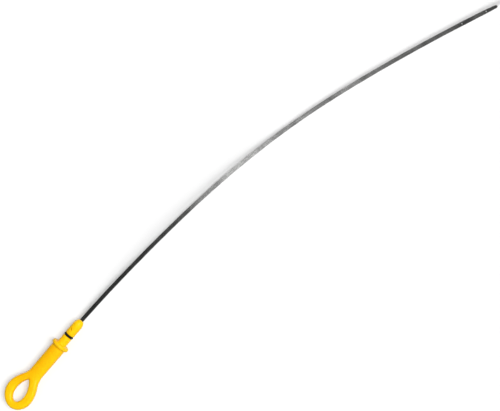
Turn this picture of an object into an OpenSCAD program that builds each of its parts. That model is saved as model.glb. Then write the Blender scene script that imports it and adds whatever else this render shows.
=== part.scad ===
// Engine oil dipstick: a curved steel gauge blade moulded into a plastic pull
// handle, with one seal ring on the plug that stops the dipstick tube.
// Origin: centre of the collar's tube-side face. +X runs to the blade, +Z is up.

/* [Blade] */
// blade length along its curve, from the plug's nose to the tip
blade_len = 496.5; // [300:0.5:700]
// strip width
blade_w = 4.2; // [3:0.1:4.4]
// strip thickness
blade_t = 1.0; // [0.6:0.1:1.4]
// how far the long edges of the strip are eased
blade_ease = 0.2; // [0.05:0.05:0.25]
// heading of the strip where it leaves the plug, turned towards -Y
lead_deg = 0.75; // [0:0.25:3]
// how far the strip turns over its whole length
bend_deg = 23; // [5:0.5:40]
// how much of the bend gathers in the middle of the strip
bend_gather = 0.5; // [0:0.02:0.9]
// how flat the strip lies again near its tip
bend_settle = 0.2; // [0:0.02:0.5]
// length over which the strip sinks from the plug's axis to the floor
settle_len = 280; // [120:5:290]
// how far the strip narrows on each side where it runs out to its tip
tip_taper = 0.5; // [0:0.05:0.8]
// length of that narrowing
tip_taper_len = 12; // [6:1:30]

/* [Gauge marks] */
// hole diameter of both level marks
mark_d = 1.4; // [1:0.1:2]
// low level mark, from the tip
low_mark = 11.4; // [6:0.2:20]
// distance between the low and the full mark
mark_gap = 25.2; // [15:0.2:60]

/* [Anchor in the handle] */
// how far the strip reaches back behind the collar's tube-side face
anchor_len = 26; // [12:1:32]
// hole in the strip that the moulding flows through
anchor_d = 2.0; // [1:0.1:2.4]
// distance of that hole from the strip's buried end
anchor_inset = 6; // [4:0.5:10]

/* [Plug] */
// diameter of the land that fits the dipstick tube
land_d = 9.6; // [9.4:0.1:11]
// length of the plain land ahead of the seal ring
land_len = 11.1; // [9:0.1:14]
// length of the rounded nose
nose_len = 6; // [4:0.1:8]
// diameter of the nose's flat front, where the strip comes out
nose_tip_d = 4.9; // [4.8:0.1:6]
// chamfer on the rear edge of the land
land_chamfer = 0.35; // [0.1:0.05:0.6]
// diameter of the neck between the seal ring and the collar
neck_d = 9.4; // [7.6:0.1:9.4]
// length of that neck
neck_len = 9.2; // [6:0.1:14]
// fillet between the neck and the collar
foot_fillet = 0.6; // [0.2:0.1:1.2]
// small recess in the land: length along the plug
recess_len = 3.4; // [1:0.1:4]
// small recess in the land: width
recess_w = 1.1; // [0.6:0.1:1.6]
// small recess in the land: depth below the land
recess_depth = 1.8; // [0.4:0.1:2.2]
// small recess in the land: turned about the plug's axis from the top
recess_turn = 14; // [0:1:90]
// small recess in the land: slant against the plug's axis
recess_slant = 35; // [0:5:60]

/* [Seal ring] */
// diameter of the ring's cord
ring_cord = 2.0; // [1.2:0.1:2.2]
// how far the ring stands proud of the land
ring_proud = 0.25; // [0.1:0.05:0.5]
// free space on each side of the ring in its groove
ring_side_gap = 0.3; // [0.05:0.05:0.5]
// free space between the ring and the groove's floor
ring_floor_gap = 0.02; // [0.01:0.01:0.1]

/* [Collar] */
// collar diameter
collar_d = 18; // [17:0.2:22]
// collar thickness
collar_len = 3.6; // [3.4:0.1:7]
// rounding of the collar's rim
collar_round = 1.5; // [0.3:0.1:1.6]

/* [Grip] */
// width of the shank
shank_w = 14; // [11:0.1:15]
// thickness of the shank at the collar
shank_t = 11.6; // [9:0.1:13]
// distance from the collar's rear face to the point of the finger opening
shank_len = 42.5; // [38:0.5:60]
// how far the shank widens on each side where it runs into the loop
shank_flare = 1.7; // [0.8:0.1:2.4]
// length of the finger opening
opening_len = 24; // [20:0.2:30]
// width of the finger opening
opening_w = 11.6; // [9:0.1:14]
// width of the loop's band at its sides
band_side = 9; // [7:0.1:11]
// width of the loop's band at its rear end
band_end = 7.1; // [5:0.1:10]
// thickness of the loop
loop_t = 7.2; // [5:0.1:8]
// how far the finger opening leans against the shank
opening_lean = 6.5; // [0:0.5:12]
// how far the loop's rear end stands off to the side
loop_drift = 1.75; // [0:0.05:3]

/* [Hidden] */
$fn = 96;
yellow = [1.0, 0.80, 0.05];
black = [0.06, 0.06, 0.06];
steel = [0.52, 0.53, 0.54];

collar_r = collar_d/2;
land_r = land_d/2;
// the nose's side is one arc that leaves the land smoothly and ends at its flat front
nose_drop = land_r - nose_tip_d/2;
nose_arc = (nose_len*nose_len + nose_drop*nose_drop)/(2*nose_drop);
// the seal ring, its groove and the plug's stations along X
ring_mid_r = land_r + ring_proud - ring_cord/2;
groove_r = ring_mid_r - ring_cord/2 - ring_floor_gap;
groove_len = ring_cord + 2*ring_side_gap;
groove_x0 = neck_len;
groove_x1 = groove_x0 + groove_len;
land_x1 = groove_x1 + land_len;
nose_x = land_x1 + nose_len;
// the finger opening and the loop's outer form, measured along the shank
point_x = -collar_len - shank_len;
opening_x = point_x - opening_len/2;
loop_end_x = point_x - opening_len - band_end;
loop_root_x = point_x + 17.9;
loop_x = (loop_root_x + loop_end_x)/2;
loop_half = (loop_root_x - loop_end_x)/2;
loop_w = opening_w + 2*band_side;
opening_power = 0.5;
slit_peak = max([for (a = [60:150]) slit(a)]);
loop_belly = 0.33;
drop_peak = max([for (a = [90:180]) drop(a)]);
settle_bend = 0.25;
band_power = 2.8;
shank_power = 2.7;
shank_ridge = 0.13;
// how far the strip sinks below the plug's axis, so that it lies level with the collar's rim
sink = collar_r - blade_t/2;

// Helpers
function arc(c, r, from, to, n) =
    [for (i = [0:n]) let (a = from + (to - from)*i/n) c + r*[cos(a), sin(a)]];
function spow(v, p) = sign(v)*pow(abs(v), p);
function ease(v) = let (u = min(max(v, 0), 1)) u*u*(3 - 2*u);
// a straight slope from 0 to 1 that is rounded over the share settle_bend at both ends
function slope_ease(v) =
    let (u = min(max(v, 0), 1), e = settle_bend, k = 2*e*(1 - e))
    u < e ? u*u/k : u > 1 - e ? 1 - (1 - u)*(1 - u)/k : (u - e/2)/(1 - e);
// half-width of a drop whose point lies at a = 0 and whose round end lies at a = 180
function drop(a) = sin(a)*(1 - cos(a))*(1 + loop_belly*cos(a));
// half-width of an opening with a blunter point at a = 0
function slit(a) = sin(a)*pow(abs(sin(a/2)), opening_power);
function turned(p, c, a) =
    let (q = p - c) c + [q[0]*cos(a) - q[1]*sin(a), q[0]*sin(a) + q[1]*cos(a)];

// the faces of a tube through rings of m points each, closed on itself or capped at both ends
function tube_faces(n, m, closed) = concat(
    [for (i = [0:(closed ? n - 1 : n - 2)], j = [0:m - 1], k = [0, 1])
        let (a = i*m + j, b = i*m + (j + 1)%m,
             c = ((i + 1)%n)*m + (j + 1)%m, d = ((i + 1)%n)*m + j)
        k == 0 ? [a, b, c] : [a, c, d]],
    closed ? [] : [[for (j = [m - 1:-1:0]) j], [for (j = [0:m - 1]) (n - 1)*m + j]]);

module tube(rings, closed = false) {
    m = len(rings[0]);
    polyhedron(points = [for (r = rings, p = r) p],
               faces = tube_faces(len(rings), m, closed), convexity = 6);
}

// Blade
blade_steps = 84;
tip_steps = 6;
tip_r = blade_w/2 - tip_taper;

// heading of the strip at the share t of its length
function heading(t) = lead_deg + bend_deg*(t
    - bend_gather*sin(360*t)/(2*PI) + bend_settle*sin(720*t)/(4*PI));
// height of the strip's centre at the distance s from the nose: an even slope with a bend at
// each end
function sunk(s) = -sink*slope_ease(s/settle_len);

// the strip's plan: points at even steps from the nose to the tip
plan_step = blade_len/400;
plan = [for (i = 0, p = [nose_x, 0]; i <= 400;
             p = p + plan_step*[cos(heading((i + 0.5)/400)), -sin(heading((i + 0.5)/400))],
             i = i + 1) p];
function at(s) =
    let (u = min(max(s/plan_step, 0), 399.999), i = floor(u), f = u - i)
    [each plan[i]*(1 - f) + plan[i + 1]*f, sunk(s)];

// the strip's section with eased edges, in a frame that follows heading and slope
function strip_ring(c, h, slope, hw) =
    let (along = [cos(h)*cos(slope), -sin(h)*cos(slope), sin(slope)],
         side = [sin(h), cos(h), 0], up = cross(along, side),
         ht = blade_t/2, e = min(blade_ease, hw*0.4))
    [for (q = [[hw, -ht + e], [hw, ht - e], [hw - e, ht], [-hw + e, ht],
               [-hw, ht - e], [-hw, -ht + e], [-hw + e, -ht], [hw - e, -ht]])
        c - side*q[0] + up*q[1]];
function blade_ring(s, hw) =
    strip_ring(at(s), heading(s/blade_len), atan2(sunk(s + 0.5) - sunk(s - 0.5), 1), hw);

module blade_strip() {
    body_len = blade_len - tip_r;
    run_len = body_len - tip_taper_len;
    tube(concat(
        [strip_ring([-anchor_len, 0, 0], 0, 0, blade_w/2)],
        [strip_ring([nose_x, 0, 0], 0, 0, blade_w/2)],
        [for (i = [1:blade_steps]) blade_ring(run_len*i/blade_steps, blade_w/2)],
        [for (i = [1:4]) blade_ring(run_len + tip_taper_len*i/4, blade_w/2 - tip_taper*i/4)],
        [for (i = [1:tip_steps]) let (a = 80*i/tip_steps)
            blade_ring(body_len + tip_r*sin(a), tip_r*cos(a))]));
}

module blade() {
    color(steel) difference() {
        blade_strip();
        for (s = [low_mark, low_mark + mark_gap])
            translate(at(blade_len - s)) cylinder(d = mark_d, h = 4*blade_t, center = true);
        translate([-anchor_len + anchor_inset, 0, 0])
            cylinder(d = anchor_d, h = 4*blade_t, center = true);
    }
}

// Seal ring
module o_ring() {
    color(black) translate([(groove_x0 + groove_x1)/2, 0, 0]) rotate([0, 90, 0])
        rotate_extrude() translate([ring_mid_r, 0]) circle(d = ring_cord);
}

// Handle
// collar, neck, ring groove, land and nose in one turned form
module plug_and_collar() {
    nose_stop = asin(nose_len/nose_arc);
    profile = concat(
        [[0, -collar_len]],
        arc([collar_r - collar_round, -collar_len + collar_round], collar_round, -90, 0, 6),
        arc([collar_r - collar_round, -collar_round], collar_round, 0, 90, 6),
        arc([neck_d/2 + foot_fillet, foot_fillet], foot_fillet, 270, 180, 5),
        [[neck_d/2, groove_x0], [groove_r, groove_x0], [groove_r, groove_x1],
         [land_r - land_chamfer, groove_x1], [land_r, groove_x1 + land_chamfer]],
        arc([land_r - nose_arc, land_x1], nose_arc, 0, nose_stop, 8),
        [[0, nose_x]]);
    rotate([0, 90, 0]) rotate_extrude() polygon(profile);
}

// the shank: rings with a soft ridge on top that keep their width, thin towards the loop
// and flare into its arms
function shank_ring(x, hw, ht) =
    [for (j = [0:27]) let (a = 360*j/28)
        [x, hw*spow(cos(a), 2/shank_power),
         ht*spow(sin(a), 2/shank_power)*(1 - shank_ridge*pow(abs(cos(a)), 2/shank_power))]];
module shank() {
    x0 = -collar_len + 1.5;
    x1 = point_x + 3;
    widen_x = point_x + 10.5;
    tube(concat(
        [for (i = [0:9]) let (f = i/9, x = x0 + (x1 - x0)*f, d = max(widen_x - x, 0)/(widen_x - x1))
            shank_ring(x, shank_w/2 + shank_flare*d*d,
                       shank_t/2 + (loop_t/2 + 0.3 - shank_t/2)*ease(f))],
        [for (i = [1:4]) let (a = 78*i/4)
            shank_ring(x1 - 2.2*sin(a), (shank_w/2 + shank_flare)*cos(a), (loop_t/2 + 0.3)*cos(a))]));
}

// the loop: oval rings fanned out between the finger opening and the outer form
function opening_at(a) = turned(
    [opening_x + opening_len/2*cos(a), opening_w/2*slit(a)/slit_peak],
    [opening_x, 0], opening_lean);
function outside_at(a) = [loop_x + loop_half*cos(a),
    loop_w/2*drop(a)/drop_peak - loop_drift*(pow((1 - cos(a))/2, 3) - 0.16)];
function loop_ring(a) =
    let (p = opening_at(a), q = outside_at(a), c = (p + q)/2, d = (q - p)/2)
    [for (j = [0:21]) let (b = 360*j/22, u = spow(cos(b), 2/band_power))
        [each c + d*u, loop_t/2*spow(sin(b), 2/band_power)]];
module loop() {
    tube([for (i = [0:63]) loop_ring(360*i/64)], closed = true);
}

// a pocket that follows the strip's buried part, bridged by the moulding through its hole
module blade_pocket() {
    hw = blade_w/2;
    ht = blade_t/2;
    e = blade_ease;
    difference() {
        translate([-anchor_len, 0, 0]) rotate([90, 0, 90])
            linear_extrude(anchor_len + nose_x + 1)
                polygon([[hw, -ht + e], [hw, ht - e], [hw - e, ht], [-hw + e, ht],
                         [-hw, ht - e], [-hw, -ht + e], [-hw + e, -ht], [hw - e, -ht]]);
        translate([-anchor_len + anchor_inset, 0, 0])
            cylinder(d = anchor_d, h = 4*blade_t, center = true);
    }
}

module handle() {
    color(yellow) difference() {
        union() {
            plug_and_collar();
            shank();
            loop();
        }
        blade_pocket();
        rotate([-recess_turn, 0, 0])
            translate([groove_x1 + 0.53*land_len, 0, land_r - recess_depth])
                rotate([0, 0, recess_slant]) translate([-recess_len/2, -recess_w/2, 0])
                    cube([recess_len, recess_w, recess_depth + 1]);
    }
}

handle();
o_ring();
blade();
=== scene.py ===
import math
import bpy
import bmesh
from mathutils import Matrix, Vector


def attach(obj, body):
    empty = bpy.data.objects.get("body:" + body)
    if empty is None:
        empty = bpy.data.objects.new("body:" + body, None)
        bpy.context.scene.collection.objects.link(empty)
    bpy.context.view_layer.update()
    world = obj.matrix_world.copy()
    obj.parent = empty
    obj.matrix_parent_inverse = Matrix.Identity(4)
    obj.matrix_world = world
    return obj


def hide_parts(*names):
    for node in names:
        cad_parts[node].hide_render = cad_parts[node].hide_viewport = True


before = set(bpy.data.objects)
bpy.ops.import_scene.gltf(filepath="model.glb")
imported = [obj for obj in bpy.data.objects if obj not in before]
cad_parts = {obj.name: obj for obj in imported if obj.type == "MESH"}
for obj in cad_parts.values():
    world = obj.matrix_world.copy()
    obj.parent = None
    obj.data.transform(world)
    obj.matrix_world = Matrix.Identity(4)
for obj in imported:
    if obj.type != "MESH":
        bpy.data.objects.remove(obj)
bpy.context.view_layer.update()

# An engine oil dipstick. The yellow handle gets a finer mesh than its solid, made from the same
# sizes and curves. The seal ring and the steel strip keep their CAD meshes.

MM = 0.001
TURN = 2*math.pi

# Sizes in millimetres and angles in degrees, the same as in part.scad
COLLAR_D, COLLAR_LEN, COLLAR_ROUND = 18.0, 3.6, 1.5
LAND_D, LAND_LEN, LAND_CHAMFER = 9.6, 11.1, 0.35
NOSE_LEN, NOSE_TIP_D = 6.0, 4.9
NECK_D, NECK_LEN, FOOT_FILLET = 9.4, 9.2, 0.6
RING_CORD, RING_PROUD, RING_SIDE_GAP, RING_FLOOR_GAP = 2.0, 0.25, 0.3, 0.02
RECESS_LEN, RECESS_W, RECESS_DEPTH, RECESS_TURN, RECESS_SLANT = 3.4, 1.1, 1.8, 14.0, 35.0
SHANK_W, SHANK_T, SHANK_LEN, SHANK_FLARE = 14.0, 11.6, 42.5, 1.7
SHANK_POWER, SHANK_RIDGE = 2.7, 0.13
OPENING_LEN, OPENING_W, OPENING_LEAN, OPENING_POWER = 24.0, 11.6, 6.5, 0.5
BAND_SIDE, BAND_END, BAND_POWER = 9.0, 7.1, 2.8
LOOP_T, LOOP_DRIFT, LOOP_BELLY = 7.2, 1.75, 0.33
LEAD_DEG, BEND_DEG, BEND_GATHER, BEND_SETTLE = 0.75, 23.0, 0.5, 0.2

# Where the recess lies on the land, as a share of the land's length
RECESS_AT = 0.53
# How far the shank runs into the collar; where it ends and starts to widen ahead of the
# opening's point; how its end is rounded off inside the loop
SHANK_IN, SHANK_STOP, SHANK_WIDENS = 1.5, 3.0, 10.5
SHANK_END_PROUD, SHANK_END_LEN, SHANK_END_DEG = 0.3, 2.2, 78.0
# Where the loop's outer form starts ahead of the opening's point, and the part of its sideways
# drift that is taken back, so that its middle stays in line with the shank
LOOP_ROOT, DRIFT_BACK = 17.9, 0.16
# The strip's reach along X beyond the plug
BLADE_REACH = 487.6

LAND_R = LAND_D/2
COLLAR_R = COLLAR_D/2
RING_MID_R = LAND_R + RING_PROUD - RING_CORD/2
GROOVE_R = RING_MID_R - RING_CORD/2 - RING_FLOOR_GAP
GROOVE_X0 = NECK_LEN
GROOVE_X1 = GROOVE_X0 + RING_CORD + 2*RING_SIDE_GAP
LAND_X1 = GROOVE_X1 + LAND_LEN
NOSE_X = LAND_X1 + NOSE_LEN
NOSE_DROP = LAND_R - NOSE_TIP_D/2
NOSE_ARC = (NOSE_LEN**2 + NOSE_DROP**2)/(2*NOSE_DROP)
POINT_X = -COLLAR_LEN - SHANK_LEN
OPENING_X = POINT_X - OPENING_LEN/2
LOOP_END_X = POINT_X - OPENING_LEN - BAND_END
LOOP_ROOT_X = POINT_X + LOOP_ROOT
LOOP_X = (LOOP_ROOT_X + LOOP_END_X)/2
LOOP_HALF = (LOOP_ROOT_X - LOOP_END_X)/2
LOOP_W = OPENING_W + 2*BAND_SIDE

# Fineness of the handle's mesh: points around and rings along each form, and the cell of the
# remesh in millimetres
PLUG_POINTS = 160
SHANK_POINTS, SHANK_RINGS, SHANK_END_RINGS = 64, 60, 8
LOOP_POINTS, LOOP_RINGS = 56, 256
CELL = 0.38

# Camera: turn and lean in degrees, distance and middle of the view in millimetres, and
# millimetres to a pixel in a picture that is 500 pixels wide
CAMERA_TURN, CAMERA_LEAN, CAMERA_DISTANCE = 49.3, 12.0, 1100.0
VIEW_MID = Vector((NOSE_X + 187.51, -51.11, 0.0))
PIXEL, PICTURE_W, SENSOR_W = 0.94091, 500, 36.0

# Floor: half its width in metres, its tone, and the share of that tone that it throws back
FLOOR_HALF, FLOOR_TONE, FLOOR_RETURN = 3.0, 0.70, 0.5

# Strengths of the light
FILL, GLOSS, KEY, FLOOR_KEY, FLOOR_SKIM = 0.52, 1.5, 2.85, 2.25, 13.0
# The fill's greys, from behind the loop and the +Y side to the opposite side
FILL_SIDES = [(0.0, 0.40), (0.5, 0.72), (1.0, 1.0)]
# What glossy surfaces mirror. From the horizon up: white, then ever darker
HORIZON = [(0.0, 0.667), (0.1, 0.6), (0.45, 0.35), (0.8, 0.08), (1.0, 0.06)]
# and overhead, along the strip: a soft box that is dark, bright, then fades towards the tip
OVERHEAD = [(0.0, 0.03), (0.46, 0.03), (0.54, 0.25), (0.595, 1.0), (0.64, 0.25), (0.95, 0.03)]
# How far to each side the soft box reaches, and the heights between which it takes over
OVERHEAD_REACH, OVERHEAD_FROM, OVERHEAD_FULL = 0.25, 0.80, 0.92


# Camera and objects

def camera():
    """High above the part and a little to its -Y side, turned so that the plug points up."""
    turn, lean = math.radians(CAMERA_TURN), math.radians(CAMERA_LEAN)
    data = bpy.data.cameras.new("camera")
    data.sensor_width = SENSOR_W
    data.lens = SENSOR_W*CAMERA_DISTANCE/(PICTURE_W*PIXEL)
    data.clip_start, data.clip_end = 0.01, 20.0
    cam = new_object("camera", data)
    back = Vector((0, -math.sin(lean), math.cos(lean)))
    down = Vector((0, -math.cos(lean), -math.sin(lean)))
    right = math.cos(turn)*Vector((1, 0, 0)) + math.sin(turn)*down
    up = math.sin(turn)*Vector((1, 0, 0)) - math.cos(turn)*down
    place = Matrix.Translation((VIEW_MID + CAMERA_DISTANCE*back)*MM)
    cam.matrix_world = place @ Matrix((right, up, back)).transposed().to_4x4()
    bpy.context.scene.camera = cam


def new_object(name, data):
    ob = bpy.data.objects.new(name, data)
    bpy.context.scene.collection.objects.link(ob)
    return ob


def from_bmesh(name, bm):
    """An object that takes over a bmesh."""
    mesh = bpy.data.meshes.new(name)
    bm.to_mesh(mesh)
    bm.free()
    return new_object(name, mesh)


def applied(ob):
    """Replace an object's mesh by the one its modifiers give."""
    deps = bpy.context.evaluated_depsgraph_get()
    deps.update()
    mesh = bpy.data.meshes.new_from_object(ob.evaluated_get(deps))
    ob.modifiers.clear()
    ob.data = mesh
    return ob


# Forms

def tube(name, rings, closed=False):
    """A skin through rings with the same number of points, closed on itself or capped."""
    bm = bmesh.new()
    rows = [[bm.verts.new([c*MM for c in p]) for p in ring] for ring in rings]
    n, m = len(rows), len(rows[0])
    for i in range(n if closed else n - 1):
        a, b = rows[i], rows[(i + 1) % n]
        for j in range(m):
            k = (j + 1) % m
            bm.faces.new((a[j], a[k], b[k], b[j]))
    if not closed:
        bm.faces.new(rows[0])
        bm.faces.new(rows[-1])
    bmesh.ops.recalc_face_normals(bm, faces=bm.faces)
    return from_bmesh(name, bm)


def arc(cx, cy, r, start, end, steps):
    angles = [math.radians(start + (end - start)*i/steps) for i in range(steps + 1)]
    return [(cx + r*math.cos(a), cy + r*math.sin(a)) for a in angles]


def turned(name, profile, points):
    """A body of revolution about X from (radius, x) pairs."""
    least = 0.001  # keeps the points on the axis apart
    angles = [TURN*j/points for j in range(points)]
    return tube(name, [[(x, max(r, least)*math.cos(a), max(r, least)*math.sin(a))
                        for a in angles] for r, x in profile])


def plug():
    """Collar, neck, ring groove, land and nose in one turned form with broken edges."""
    edge = 0.12              # rounding of the groove's edges
    near, far = 0.03, 0.05   # the points that break the edges of the land's chamfer
    rim_deg = 0.6            # how far before the flat front the nose's arc ends
    x0, x1 = GROOVE_X0, GROOVE_X1
    p = [(0, -COLLAR_LEN)]
    p += arc(COLLAR_R - COLLAR_ROUND, -COLLAR_LEN + COLLAR_ROUND, COLLAR_ROUND, -90, 0, 14)
    p += arc(COLLAR_R - COLLAR_ROUND, -COLLAR_ROUND, COLLAR_ROUND, 0, 90, 14)
    p += arc(NECK_D/2 + FOOT_FILLET, FOOT_FILLET, FOOT_FILLET, 270, 180, 10)
    p += arc(NECK_D/2 - edge, x0 - edge, edge, 0, 90, 4)
    p += arc(GROOVE_R + edge, x0 + edge, edge, 270, 180, 4)
    p += arc(GROOVE_R + edge, x1 - edge, edge, 180, 90, 4)
    p += [(LAND_R - LAND_CHAMFER - far, x1), (LAND_R - LAND_CHAMFER + near, x1 + near),
          (LAND_R - near, x1 + LAND_CHAMFER - near), (LAND_R, x1 + LAND_CHAMFER + far)]
    p += [(LAND_R, x1 + LAND_CHAMFER + (LAND_LEN - LAND_CHAMFER)*i/4) for i in (1, 2, 3)]
    stop = math.degrees(math.asin(NOSE_LEN/NOSE_ARC)) - rim_deg
    p += arc(LAND_R - NOSE_ARC, LAND_X1, NOSE_ARC, 0, stop, 22)
    # two points break the rim of the nose's flat front
    p += [(NOSE_TIP_D/2 - 0.06, NOSE_X - 0.01), (NOSE_TIP_D/2 - 0.2, NOSE_X), (0, NOSE_X)]
    return turned("plug", p, PLUG_POINTS)


def spow(v, p):
    return math.copysign(abs(v)**p, v)


def ease(v):
    v = min(max(v, 0.0), 1.0)
    return v*v*(3 - 2*v)


def shank_ring(x, hw, ht):
    """An oval with a soft ridge on top and below."""
    ring = []
    for j in range(SHANK_POINTS):
        b = TURN*j/SHANK_POINTS
        y = spow(math.cos(b), 2/SHANK_POWER)
        z = spow(math.sin(b), 2/SHANK_POWER)*(1 - SHANK_RIDGE*abs(y))
        ring.append((x, hw*y, ht*z))
    return ring


def shank():
    """The shank thins towards the loop and flares into its two arms."""
    x0, x1, widens = -COLLAR_LEN + SHANK_IN, POINT_X + SHANK_STOP, POINT_X + SHANK_WIDENS
    end_hw, end_ht = SHANK_W/2 + SHANK_FLARE, LOOP_T/2 + SHANK_END_PROUD
    rings = []
    for i in range(SHANK_RINGS + 1):
        f = i/SHANK_RINGS
        x = x0 + (x1 - x0)*f
        d = max(widens - x, 0)/(widens - x1)
        rings.append(shank_ring(x, SHANK_W/2 + SHANK_FLARE*d**2,
                                SHANK_T/2 + (end_ht - SHANK_T/2)*ease(f)))
    for i in range(1, SHANK_END_RINGS + 1):
        a = math.radians(SHANK_END_DEG*i/SHANK_END_RINGS)
        rings.append(shank_ring(x1 - SHANK_END_LEN*math.sin(a),
                                end_hw*math.cos(a), end_ht*math.cos(a)))
    return tube("shank", rings)


def drop(a):
    """Half-width of a drop whose point lies at 0 and whose round end lies at 180 degrees."""
    return math.sin(a)*(1 - math.cos(a))*(1 + LOOP_BELLY*math.cos(a))


def slit(a):
    """Half-width of the opening, a drop with a blunter point."""
    return math.sin(a)*abs(math.sin(a/2))**OPENING_POWER


DROP_PEAK = max(drop(math.radians(a)) for a in range(90, 181))
SLIT_PEAK = max(slit(math.radians(a)) for a in range(60, 151))


def opening_at(a):
    """A point of the finger opening, which leans against the shank."""
    x, y = OPENING_LEN/2*math.cos(a), OPENING_W/2*slit(a)/SLIT_PEAK
    lean = math.radians(OPENING_LEAN)
    return (OPENING_X + x*math.cos(lean) - y*math.sin(lean),
            x*math.sin(lean) + y*math.cos(lean))


def outside_at(a):
    """A point of the loop's outer form, whose rear end stands off to one side."""
    back = (1 - math.cos(a))/2
    return (LOOP_X + LOOP_HALF*math.cos(a),
            LOOP_W/2*drop(a)/DROP_PEAK - LOOP_DRIFT*(back**3 - DRIFT_BACK))


def loop():
    """Oval rings fanned out between the finger opening and the outer form."""
    rings = []
    for i in range(LOOP_RINGS):
        a = TURN*i/LOOP_RINGS
        p, q = opening_at(a), outside_at(a)
        c = ((p[0] + q[0])/2, (p[1] + q[1])/2)
        d = ((q[0] - p[0])/2, (q[1] - p[1])/2)
        ring = []
        for j in range(LOOP_POINTS):
            b = TURN*j/LOOP_POINTS
            k = spow(math.cos(b), 2/BAND_POWER)
            ring.append((c[0] + d[0]*k, c[1] + d[1]*k,
                         LOOP_T/2*spow(math.sin(b), 2/BAND_POWER)))
        rings.append(ring)
    return tube("loop", rings, closed=True)


def joined(parts, name):
    bm = bmesh.new()
    for ob in parts:
        bm.from_mesh(ob.data)
    for ob in parts:
        bpy.data.objects.remove(ob)
    return from_bmesh(name, bm)


def grip():
    """Shank and loop flow into each other as one moulding."""
    ob = joined([shank(), loop()], "grip")
    m = ob.modifiers.new("remesh", "REMESH")
    m.mode = "VOXEL"
    m.voxel_size = CELL*MM
    m.adaptivity = 0.0
    applied(ob)
    # the fork is smoothed most: from x0, full over the middle, to x1
    x0, x1, rise, fall = POINT_X - 4, POINT_X + 13, 4, 5
    group = ob.vertex_groups.new(name="junction")
    for v in ob.data.vertices:
        x = v.co.x/MM
        group.add([v.index], ease((x - x0)/rise)*ease((x1 - x)/fall), "REPLACE")
    s = ob.modifiers.new("fillet", "SMOOTH")
    s.factor, s.iterations, s.vertex_group = 0.5, 30, "junction"
    s = ob.modifiers.new("even", "SMOOTH")
    s.factor, s.iterations = 0.5, 4
    return applied(ob)


def boolean(ob, other, operation):
    m = ob.modifiers.new("boolean", "BOOLEAN")
    m.operation, m.object, m.solver = operation, other, "EXACT"
    applied(ob)
    bpy.data.objects.remove(other)
    return ob


def recess_tool():
    """The small slanted recess in the land, as a block with rounded upright edges."""
    above, corner = 1.0, 0.4
    height = RECESS_DEPTH + above
    bm = bmesh.new()
    bmesh.ops.create_cube(bm, size=1.0)
    bmesh.ops.scale(bm, vec=(RECESS_LEN*MM, RECESS_W*MM, height*MM), verts=bm.verts)
    upright = [e for e in bm.edges if abs(e.verts[0].co.z - e.verts[1].co.z) > 1e-6]
    bmesh.ops.bevel(bm, geom=upright, offset=corner*MM, segments=6, affect="EDGES", profile=0.5)
    ob = from_bmesh("recess", bm)
    place = Vector((GROOVE_X1 + RECESS_AT*LAND_LEN, 0, LAND_R - RECESS_DEPTH + height/2))
    ob.data.transform(Matrix.Rotation(math.radians(-RECESS_TURN), 4, "X")
                      @ Matrix.Translation(place*MM)
                      @ Matrix.Rotation(math.radians(RECESS_SLANT), 4, "Z"))
    return ob


def handle():
    """Grip and plug as one moulding, shaded smooth apart from its real edges."""
    sharp_deg = 40
    ob = boolean(plug(), recess_tool(), "DIFFERENCE")
    ob = boolean(grip(), ob, "UNION")
    ob.name = ob.data.name = "handle_moulding"
    ob.data.shade_smooth()
    ob.data.set_sharp_from_angle(angle=math.radians(sharp_deg))
    return ob


# Materials

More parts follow.
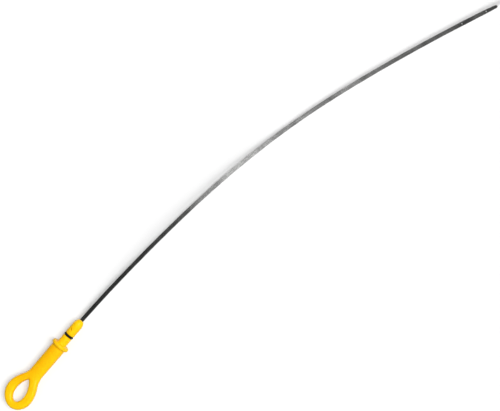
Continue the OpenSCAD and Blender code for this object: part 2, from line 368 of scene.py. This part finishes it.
class Nodes:
    """A short way to wire the nodes of a material or of the world."""

    def __init__(self, tree):
        self.tree = tree
        tree.nodes.clear()

    def add(self, kind, **settings):
        node = self.tree.nodes.new(kind)
        for key, v in settings.items():
            setattr(node, key, v)
        return node

    def link(self, a, b):
        self.tree.links.new(a, b)

    def feed(self, value, socket):
        """Give a socket a plain value or another node's output."""
        if isinstance(value, bpy.types.NodeSocket):
            self.link(value, socket)
        else:
            socket.default_value = value

    def place(self):
        """The place on the object: the whole vector, and its parts by axis."""
        whole = self.add("ShaderNodeTexCoord").outputs["Object"]
        return whole, self.split(whole)

    def split(self, vector):
        node = self.add("ShaderNodeSeparateXYZ")
        self.link(vector, node.inputs[0])
        return node.outputs

    def vector(self, x, y, z):
        node = self.add("ShaderNodeCombineXYZ")
        for socket, v in zip(node.inputs, (x, y, z)):
            self.feed(v, socket)
        return node.outputs[0]

    def math(self, op, *values, clamp=False):
        node = self.add("ShaderNodeMath", operation=op, use_clamp=clamp)
        for socket, v in zip(node.inputs, values):
            self.feed(v, socket)
        return node.outputs[0]

    def dot(self, vector, direction):
        node = self.add("ShaderNodeVectorMath", operation="DOT_PRODUCT")
        self.link(vector, node.inputs[0])
        node.inputs[1].default_value = direction
        return node.outputs["Value"]

    def map_range(self, value, x0, x1, v0=0.0, v1=1.0, kind="LINEAR"):
        node = self.add("ShaderNodeMapRange", interpolation_type=kind)
        for name, v in (("Value", value), ("From Min", x0), ("From Max", x1),
                        ("To Min", v0), ("To Max", v1)):
            self.feed(v, node.inputs[name])
        return node.outputs[0]

    def step(self, value, x0, x1, v0, v1):
        """A soft step from v0 at x0 to v1 at x1, places in millimetres."""
        return self.map_range(value, x0*MM, x1*MM, v0, v1, "SMOOTHSTEP")

    def ramp(self, fac, stops):
        """Colours or greys over a factor, from (position, colour) pairs."""
        node = self.add("ShaderNodeValToRGB")
        el = node.color_ramp.elements
        while len(el) < len(stops):
            el.new(0.5)
        for e, (pos, col) in zip(el, stops):
            e.position = pos
            e.color = (*(col if isinstance(col, tuple) else (col, col, col)), 1)
        self.link(fac, node.inputs[0])
        return node.outputs[0]

    def noise(self, vector, scale, detail, rough):
        node = self.add("ShaderNodeTexNoise")
        for name, v in (("Vector", vector), ("Scale", scale), ("Detail", detail),
                        ("Roughness", rough)):
            self.feed(v, node.inputs[name])
        return node.outputs["Fac"]

    def bump(self, height, distance, strength=1.0, over=None):
        """Relief in the shading alone; distance in metres."""
        node = self.add("ShaderNodeBump")
        for name, v in (("Height", height), ("Distance", distance), ("Strength", strength)):
            self.feed(v, node.inputs[name])
        if over is not None:
            self.link(over, node.inputs["Normal"])
        return node.outputs["Normal"]

    def principled(self, **values):
        """The material's one shader, with its sockets by name."""
        node = self.add("ShaderNodeBsdfPrincipled")
        for key, v in values.items():
            node.inputs[key.replace("_", " ")].default_value = v
        self.link(node.outputs[0], self.add("ShaderNodeOutputMaterial").inputs["Surface"])
        return node.inputs

    def background(self, color, strength):
        node = self.add("ShaderNodeBackground")
        node.inputs["Strength"].default_value = strength
        self.feed(color, node.inputs["Color"])
        return node.outputs[0]

    def choose(self, fac, a, b):
        node = self.add("ShaderNodeMixShader")
        for socket, v in zip(node.inputs, (fac, a, b)):
            self.link(v, socket)
        return node.outputs[0]

    def blend(self, fac, a, b):
        """One colour over another; a colour blend has its sockets at 6, 7 and 2."""
        node = self.add("ShaderNodeMix", data_type="RGBA")
        for socket, v in ((node.inputs["Factor"], fac), (node.inputs[6], a), (node.inputs[7], b)):
            self.link(v, socket)
        return node.outputs[2]


def material(name):
    mat = bpy.data.materials.new(name)
    mat.use_nodes = True
    return mat, Nodes(mat.node_tree)


def yellow_plastic():
    """Satin moulded plastic with a fine parting line, a faint flow in its colour, and painted
    shade on the shank.
    """
    mat, n = material("yellow_plastic")
    p = n.principled(IOR=1.5, Specular_IOR_Level=0.12, Subsurface_Weight=0.25,
                     Subsurface_Scale=0.002, Subsurface_Radius=(1.0, 0.45, 0.08))
    pos, xyz = n.place()
    # painted shade: the shank is a little more orange, most of all along its +Y side, which faces
    # away from the key lamp
    painted_shade = n.math("MULTIPLY", n.step(xyz["X"], -62, -46, 0, 1), n.step(xyz["X"], -8, -3, 1, 0))
    painted_shade = n.math("MULTIPLY", painted_shade, n.step(xyz["Y"], -5, 5, 0.35, 1))
    flow = n.noise(pos, scale=60.0, detail=2.0, rough=0.5)
    tone = n.math("MULTIPLY_ADD", flow, 0.35, 0.30)
    # the painted shade pulls the tone towards the deeper orange
    tone = n.math("SUBTRACT", tone, n.math("MULTIPLY", painted_shade, 0.30), clamp=True)
    n.link(n.ramp(tone, [(0.0, (1.0, 0.46, 0.0008)), (0.6, (1.0, 0.60, 0.003))]), p["Base Color"])
    sheen = n.noise(pos, scale=240.0, detail=3.0, rough=0.6)
    n.link(n.math("MULTIPLY_ADD", sheen, 0.12, 0.28), p["Roughness"])
    # the parting line runs around the handle at half its height
    seam_half = 0.00012
    off = n.math("DIVIDE", n.math("ABSOLUTE", xyz["Z"]), seam_half)
    seam = n.math("SUBTRACT", 1.0, off, clamp=True)
    grain = n.noise(pos, scale=1400.0, detail=3.0, rough=0.55)
    n.link(n.bump(grain, 0.00002, 0.35, over=n.bump(seam, 0.00006)), p["Normal"])
    return mat


def black_rubber():
    """Smooth rubber, faintly mottled with oil."""
    mat, n = material("black_rubber")
    p = n.principled(IOR=1.5, Specular_IOR_Level=0.15)
    pos = n.place()[0]
    mottle = n.noise(pos, scale=900.0, detail=3.0, rough=0.6)
    n.link(n.ramp(mottle, [(0.3, (0.008, 0.006, 0.004)), (0.75, (0.014, 0.011, 0.007))]),
           p["Base Color"])
    n.link(n.math("MULTIPLY_ADD", mottle, 0.25, 0.38), p["Roughness"])
    grain = n.noise(pos, scale=3500.0, detail=2.0, rough=0.5)
    n.link(n.bump(grain, 0.00002, 0.4), p["Normal"])
    return mat


def strip_steel():
    """Steel brushed along the strip: its fine scratches follow the strip's own curve."""
    mat, n = material("strip_steel")
    p = n.principled(Metallic=1.0, Anisotropic=0.85)
    pos, xyz = n.place()
    lead, bend = math.radians(LEAD_DEG), math.radians(BEND_DEG)
    # t is the share of the strip's reach along X, and head the strip's heading there
    t = n.math("DIVIDE", n.math("SUBTRACT", xyz["X"], NOSE_X*MM), BLADE_REACH*MM, clamp=True)
    once, twice = n.math("MULTIPLY", t, TURN), n.math("MULTIPLY", t, 2*TURN)
    gather = n.math("MULTIPLY", n.math("SINE", once), BEND_GATHER/TURN)
    settle = n.math("MULTIPLY", n.math("SINE", twice), BEND_SETTLE/(2*TURN))
    head = n.math("ADD", n.math("SUBTRACT", t, gather), settle)
    head = n.math("MULTIPLY_ADD", head, bend, lead)
    # the tangent lies across the strip, because highlights stretch along it
    n.link(n.vector(n.math("SINE", head), n.math("COSINE", head), 0.0), p["Tangent"])
    # how far the strip's middle line has swayed to -Y: the heading summed along X
    sway = n.math("MULTIPLY", n.math("MULTIPLY", t, t), 0.5)
    sway = n.math("MULTIPLY_ADD", n.math("COSINE", once), BEND_GATHER/TURN**2, sway)
    sway = n.math("MULTIPLY_ADD", n.math("COSINE", twice), -BEND_SETTLE/(2*TURN)**2, sway)
    sway = n.math("MULTIPLY_ADD", n.math("POWER", t, 4.0), bend**2/12, sway)
    sway = n.math("MULTIPLY_ADD", sway, bend, n.math("MULTIPLY", t, lead))
    across = n.math("MULTIPLY_ADD", sway, BLADE_REACH*MM, xyz["Y"])
    # the scratches are noise that is drawn out along the strip
    draw_out = 0.03
    lane = n.vector(n.math("MULTIPLY", xyz["X"], draw_out), across, xyz["Z"])
    scratch = n.noise(lane, scale=5200.0, detail=4.0, rough=0.65)
    patch = n.noise(pos, scale=55.0, detail=4.0, rough=0.6)
    mixed = n.math("MULTIPLY_ADD", scratch, 0.55, n.math("MULTIPLY", patch, 0.45))
    n.link(n.ramp(mixed, [(0.40, (0.34, 0.34, 0.335)), (0.60, (0.78, 0.78, 0.77))]),
           p["Base Color"])
    n.link(n.math("MULTIPLY_ADD", patch, 0.08, 0.10), p["Roughness"])
    # a slow bend in the shading alone, near the middle, so that it mirrors the soft box there
    sag_from, sag_to, sag_drop = NOSE_X + 222, NOSE_X + 330, 1.8
    sag = n.bump(n.step(xyz["X"], sag_from, sag_to, 1, 0), sag_drop*MM)
    n.link(n.bump(scratch, 0.00001, 0.9, over=sag), p["Normal"])
    return mat


def floor_white():
    """A pale matt floor that throws less light back on the part than it shows."""
    mat, n = material("floor_white")
    path = n.add("ShaderNodeLightPath").outputs
    mirrored = n.math("MAXIMUM", path["Is Glossy Ray"], path["Is Transmission Ray"])
    shown = n.math("MAXIMUM", path["Is Camera Ray"], mirrored)
    tone = n.math("MULTIPLY_ADD", shown, FLOOR_TONE*(1 - FLOOR_RETURN), FLOOR_TONE*FLOOR_RETURN)
    matt = n.add("ShaderNodeBsdfDiffuse")
    n.link(tone, matt.inputs["Color"])
    n.link(matt.outputs[0], n.add("ShaderNodeOutputMaterial").inputs["Surface"])
    return mat


def put_material(ob, mat):
    if ob.material_slots:
        for s in ob.material_slots:
            s.material = mat
    else:
        ob.data.materials.append(mat)


# Stage and light

def floor_plane():
    """The floor, where the collar's rim and the strip's outer half lie on it."""
    bm = bmesh.new()
    bmesh.ops.create_grid(bm, x_segments=1, y_segments=1, size=FLOOR_HALF)
    ob = from_bmesh("floor", bm)
    ob.location = (VIEW_MID.x*MM, VIEW_MID.y*MM, -COLLAR_R*MM)
    return ob


def studio():
    """A fill on the part, white behind it, and a soft box that only glossy surfaces mirror."""
    world = bpy.data.worlds.new("studio")
    bpy.context.scene.world = world
    world.use_nodes = True
    n = Nodes(world.node_tree)
    way = n.add("ShaderNodeTexCoord").outputs["Generated"]
    front = n.map_range(n.dot(way, (0.6, -0.8, 0)), -1.0, 1.0)
    fill = n.background(n.ramp(front, FILL_SIDES), FILL)
    # the soft box lies along the strip's mean heading
    heading = math.radians(12)
    along = n.map_range(n.dot(way, (math.cos(heading), -math.sin(heading), 0)),
                        -OVERHEAD_REACH, OVERHEAD_REACH)
    height = n.split(way)["Z"]
    high = n.map_range(height, OVERHEAD_FROM, OVERHEAD_FULL)
    mirrored = n.blend(high, n.ramp(height, HORIZON), n.ramp(along, OVERHEAD))
    gloss = n.background(mirrored, GLOSS)
    white = n.background((1, 1, 1, 1), 1.0)
    path = n.add("ShaderNodeLightPath").outputs
    shown = n.math("MAXIMUM", path["Is Camera Ray"], path["Is Transmission Ray"])
    light = n.choose(shown, n.choose(path["Is Glossy Ray"], fill, gloss), white)
    n.link(light, n.add("ShaderNodeOutputWorld").inputs["Surface"])


def group(name, objects):
    collection = bpy.data.collections.new(name)
    for ob in objects:
        collection.objects.link(ob)
    return collection


def lamp(name, azimuth, elevation, strength, angle, lights, shades=None):
    """A distant lamp, kept to what it lights and, if given, to what casts its shadow."""
    data = bpy.data.lights.new(name, "SUN")
    data.energy = strength
    data.angle = math.radians(angle)
    ob = new_object(name, data)
    az, el = math.radians(azimuth), math.radians(elevation)
    d = Vector((math.cos(az)*math.cos(el), math.sin(az)*math.cos(el), math.sin(el)))
    ob.rotation_euler = d.to_track_quat("Z", "Y").to_euler()
    ob.light_linking.receiver_collection = group(name + "_lights", lights)
    if shades:
        ob.light_linking.blocker_collection = group(name + "_shades", shades)


camera()

moulding = handle()
put_material(moulding, yellow_plastic())
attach(moulding, "root")
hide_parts("handle")

o_ring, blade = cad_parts["o_ring"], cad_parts["blade"]
put_material(o_ring, black_rubber())
put_material(blade, strip_steel())

floor = floor_plane()
put_material(floor, floor_white())

# Azimuths are counted in the part's frame: the photograph's lower right is at -Y. The skimming
# lamp shines almost along the strip's near half and gives it a narrow shadow.
studio()
lamp("key", -42.0, 57.0, KEY, 30.0, lights=[moulding, o_ring, blade])
lamp("floor_key", -58.0, 59.0, FLOOR_KEY, 26.0, lights=[floor])
lamp("floor_skim", -173.5, 7.2, FLOOR_SKIM, 10.0, lights=[floor], shades=[blade])

bpy.context.scene.view_settings.view_transform = "Standard"
